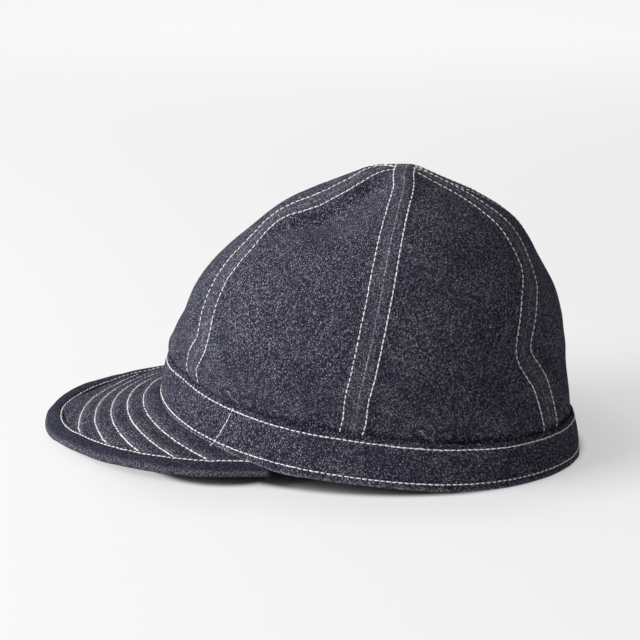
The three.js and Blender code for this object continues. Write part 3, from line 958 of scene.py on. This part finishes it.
def stitchTree():
    inputs = {"Rows": "Geometry", "Finish": "Material"}
    inputs |= dict.fromkeys(("Pitch", "Stitch", "Thread", "Sink", "Rise", "Wander"), "Float")
    tree, given, result = newGroup("stitch rows", "GeometryNodeTree", inputs, {"Stitches": "Geometry"})
    rows = addNode(tree, "GeometryNodeMeshToCurve", {"Mesh": given["Rows"]}).outputs[0]
    spacing = {"Curve": rows, "Length": given["Pitch"]}
    points = addNode(tree, "GeometryNodeResampleCurve", spacing, mode="LENGTH").outputs[0]

    # One stitch: a thread that rises from the cloth and sinks back
    half = times(tree, given["Stitch"], 0.5)
    low = times(tree, given["Sink"], -1)
    start = combined(tree, times(tree, half, -1), 0, low)
    middle, end = combined(tree, 0, 0, given["Rise"]), combined(tree, half, 0, low)
    arch = addNode(tree, "GeometryNodeCurveQuadraticBezier", (5, start, middle, end)).outputs[0]
    circle = {"Resolution": 6, "Radius": given["Thread"]}
    section = addNode(tree, "GeometryNodeCurvePrimitiveCircle", circle).outputs[0]
    swept = {"Curve": arch, "Profile Curve": section, "Fill Caps": True}
    stitch = addNode(tree, "GeometryNodeCurveToMesh", swept).outputs[0]

    # Each stands along its row, faces out from the cloth and strays a little
    align = "FunctionNodeAlignRotationToVector"
    tangent = addNode(tree, "GeometryNodeInputTangent").outputs[0]
    facing = addNode(tree, "GeometryNodeInputNamedAttribute", {"Name": "facing"}, data_type="FLOAT_VECTOR")
    turned = addNode(tree, align, {"Vector": tangent}, axis="X").outputs[0]
    out = {"Rotation": turned, "Vector": facing.outputs[0]}
    turned = addNode(tree, align, out, axis="Z", pivot_axis="X").outputs[0]
    sway = {"Rotation": turned, "Rotate By": randomVector(tree, *stitchLook["sway"], 5)}
    swayed = addNode(tree, "FunctionNodeRotateRotation", sway, rotation_space="LOCAL")
    size = randomVector(tree, *stitchLook["size"], 8)
    drift = {0: randomVector(tree, (-1, -1, -1), (1, 1, 1), 11), "Scale": given["Wander"]}
    step = addNode(tree, "ShaderNodeVectorMath", drift, operation="SCALE").outputs[0]
    moved = addNode(tree, "GeometryNodeSetPosition", {"Geometry": points, "Offset": step}).outputs[0]
    each = {"Points": moved, "Instance": stitch, "Rotation": swayed.outputs[0], "Scale": size}
    sewn = addNode(tree, "GeometryNodeInstanceOnPoints", each).outputs[0]
    real = addNode(tree, "GeometryNodeRealizeInstances", {"Geometry": sewn}).outputs[0]
    smooth = addNode(tree, "GeometryNodeSetShadeSmooth", {"Geometry": real}).outputs[0]
    finish = {"Geometry": smooth, "Material": given["Finish"]}
    done = addNode(tree, "GeometryNodeSetMaterial", finish).outputs[0]
    tree.links.new(done, result["Stitches"])
    return tree


stitches = stitchTree()


def stitchPiece(name, rows, pitch, stitch=2.25, thread=stitchLook["thread"], wander=0.05):
    spots, facings, edges = [], [], []
    for row in rows:
        onRow, facing = onCloth(resampled(row, 0.6))
        start = len(spots)
        spots.extend(onRow)
        facings.extend(facing)
        edges.extend([(start + i, start + i + 1) for i in range(len(onRow) - 1)])
    mesh = bpy.data.meshes.new(name)
    mesh.from_pydata(spots, edges, [])
    layer = mesh.attributes.new("facing", "FLOAT_VECTOR", "POINT")
    layer.data.foreach_set("vector", np.array(facings, np.float32).ravel())
    piece = placed(name, mesh)
    made = piece.modifiers.new("stitches", "NODES")
    made.node_group = stitches
    sink, rise = stitchLook["sink"], stitchLook["rise"]
    sizes = {"Pitch": pitch, "Stitch": stitch, "Thread": thread, "Sink": sink, "Rise": rise + sink}
    values = {key: size * millimetre for key, size in sizes.items()}
    values |= {"Wander": wander * millimetre, "Finish": threadWhite}
    for item in stitches.interface.items_tree:
        if item.name in values:
            made[item.identifier] = values[item.name]
    settle(piece)
    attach(piece, "root")


crownStitchRows = [besideSeam(sideSeamPath, side) for side in (-1, 1)]
for path in otherSeamPaths:
    for side in (-1, 1):
        row = besideSeam(path, side)
        toSide = np.array([sideTree[0].find(p)[2] for p in row])
        crownStitchRows.append(row[toSide > rowOffset(row[:, 2]) - 0.2])


def overBand(row):
    angles = np.degrees(np.arctan2(row[:, 0] / opening["halfWidth"], -row[:, 1] / opening["halfLength"]))
    return row[row[:, 2] > bandValue("lift", angles) + stitchLook["from"]]


crownStitchRows = [overBand(row) for row in crownStitchRows]
stitchPiece("crown_stitches", crownStitchRows, pitch=seamLook["pitch"])

bandRing = np.linspace(0, 360, 1200)
bandStitchRows = [bandPoint(bandRing, height) for height in bandLook["rows"]]
stitchPiece("band_stitches", bandStitchRows, pitch=2.7)

# One slanted tack on the left temple, its end running on below the lower row.
tackLook = {"high": (54.3, 17.9), "low": (52.1, 3.4), "end": 1.1, "bow": 0.35}
tackHeights = np.linspace(tackLook["high"][1], tackLook["end"], 60)
tackShare = (tackLook["high"][1] - tackHeights) / (tackLook["high"][1] - tackLook["low"][1])
tackAngles = tackLook["high"][0] + (tackLook["low"][0] - tackLook["high"][0]) * tackShare
tackAngles = tackAngles + tackLook["bow"] * np.sin(math.pi * tackShare)
tackRow = bandPoint(tackAngles, tackHeights)
stitchPiece("tack_stitch", [tackRow], pitch=2.5, stitch=2.75, thread=0.27, wander=0.15)

peakStitchRows = []
fine = np.linspace(-63, 63, 1200)
for number in range(1, peakLook["rows"] + 1):
    out = peakLook["apart"] * number
    at = fine[peakValue("reach", fine) - bindingLook["stitch"] > out - 0.3]
    peakStitchRows.append(peakPoint(at, np.full(len(at), out), 0 * at))
stitchPiece("peak_stitches", peakStitchRows, pitch=3, stitch=2.95, thread=0.33, wander=0.12)

ring = np.linspace(1 - bindingLook["endAngle"], bindingLook["endAngle"] - 1, 1200)
ringOut = peakValue("reach", ring) - bindingLook["stitch"]
kept = ringOut > -0.5
bindingRow = peakPoint(ring[kept], ringOut[kept], np.ones(kept.sum()))
stitchPiece("binding_stitches", [bindingRow], pitch=2.6)
print("stitching made")

# Floor, light and camera
stageLook = {
    "floor": {
        "Base Color": (0.38, 0.38, 0.38, 1),
        "Roughness": 0.9,
        "Specular IOR Level": 0.1,
        "Emission Strength": 1,
    },
    "glowLeft": 0.585,  # light painted into the floor itself as the camera sees it, brighter to the left and further back; none under the cap, which paints its shadow there
    "glowRight": 0.55,
    "glowFar": 0.22,
    "under": ((0.031, 0.107), (-0.03, 0.055)),  # ovals of painted shadow under the cap: middle and half length
    "underWide": 0.083,
    "glowCast": 0.3,  # the share of it that falls on the cap
    "floorRadius": 9,
    "ambient": 0.28,
    "keyPlace": (0.74, -1.58, 0.9),
    "keyAim": (0, 0, 0.05),
    "keySize": 1.2,
    "keyPower": 53,
}


def floorMaterial():
    material, tree, shader = newMaterial("pale floor", stageLook["floor"])
    place = addNode(tree, "ShaderNodeTexCoord").outputs["Object"]
    x, y, _ = addNode(tree, "ShaderNodeSeparateXYZ", (place,)).outputs
    # The glow fades to none over these ovals, painting the cap's shadow on the floor.
    away = []
    for middle, half in stageLook["under"]:
        level = calc(tree, "DIVIDE", x, stageLook["underWide"])
        along = calc(tree, "DIVIDE", calc(tree, "SUBTRACT", y, middle), half)
        squares = timesPlus(tree, level, level, times(tree, along, along))
        away.append(calc(tree, "SQRT", squares))
    clear = calc(tree, "MINIMUM", *away)
    near, beyond = spread(tree, clear, 0.92, 1), spread(tree, clear, 1, 1.5, (0, 0.15))
    clear = timesPlus(tree, near, 0.85, beyond)
    # Painted light: the glow is brighter to the left and further back.
    glow = spread(tree, y, -0.3, 1.1, (stageLook["glowLeft"], stageLook["glowRight"]))
    far = spread(tree, times(tree, x, -1), 0, 2.6, (0, stageLook["glowFar"]))
    glow = calc(tree, "ADD", glow, far)
    seen = addNode(tree, "ShaderNodeLightPath").outputs["Is Camera Ray"]
    seen = timesPlus(tree, seen, 1 - stageLook["glowCast"], stageLook["glowCast"])
    glow = times(tree, times(tree, glow, clear), seen)
    tree.links.new(mixColour(tree, glow, (0, 0, 0, 1), (1, 1, 1, 1)), shader.inputs["Emission Color"])
    return material


def floorPiece():
    turn = np.linspace(0, 2 * math.pi, 97)[:-1]
    radius = stageLook["floorRadius"]
    ring = [(radius * math.cos(t), radius * math.sin(t), 0) for t in turn]
    mesh = bpy.data.meshes.new("floor")
    mesh.from_pydata(ring, [], [list(range(len(ring)))])
    mesh.materials.append(floorMaterial())
    placed("floor", mesh)


floorPiece()
world = bpy.data.worlds.new("soft room")
world.use_nodes = True
sky = world.node_tree.nodes["Background"].inputs
sky["Color"].default_value = (1, 1, 1, 1)
sky["Strength"].default_value = stageLook["ambient"]
bpy.context.scene.world = world

light = bpy.data.lights.new("window", "AREA")
light.size = stageLook["keySize"]
light.energy = stageLook["keyPower"]
lamp = placed("window", light)
lamp.location = stageLook["keyPlace"]
aim = Vector(stageLook["keyAim"]) - lamp.location
lamp.rotation_euler = aim.to_track_quat("-Z", "Y").to_euler()

view = {
    "azimuth": 99.803,
    "elevation": 15.733,
    "distance": 0.7093,
    "target": (0, -25.07, 57.25),
    "lens": 81.8,
    "sensor": 36,
}
a, e = math.radians(view["azimuth"]), math.radians(view["elevation"])
target = Vector(toFrame(view["target"]))
away = Vector((math.sin(a) * math.cos(e), -math.cos(a) * math.cos(e), math.sin(e)))
camera = placed("camera", bpy.data.cameras.new("camera"))
camera.data.lens = view["lens"]
camera.data.sensor_width = view["sensor"]
camera.location = target + away * view["distance"]
camera.rotation_euler = (-away).to_track_quat("-Z", "Y").to_euler()
bpy.context.scene.camera = camera
bpy.context.scene.view_settings.view_transform = "Standard"
print("stage made")

bpy.context.view_layer.update()
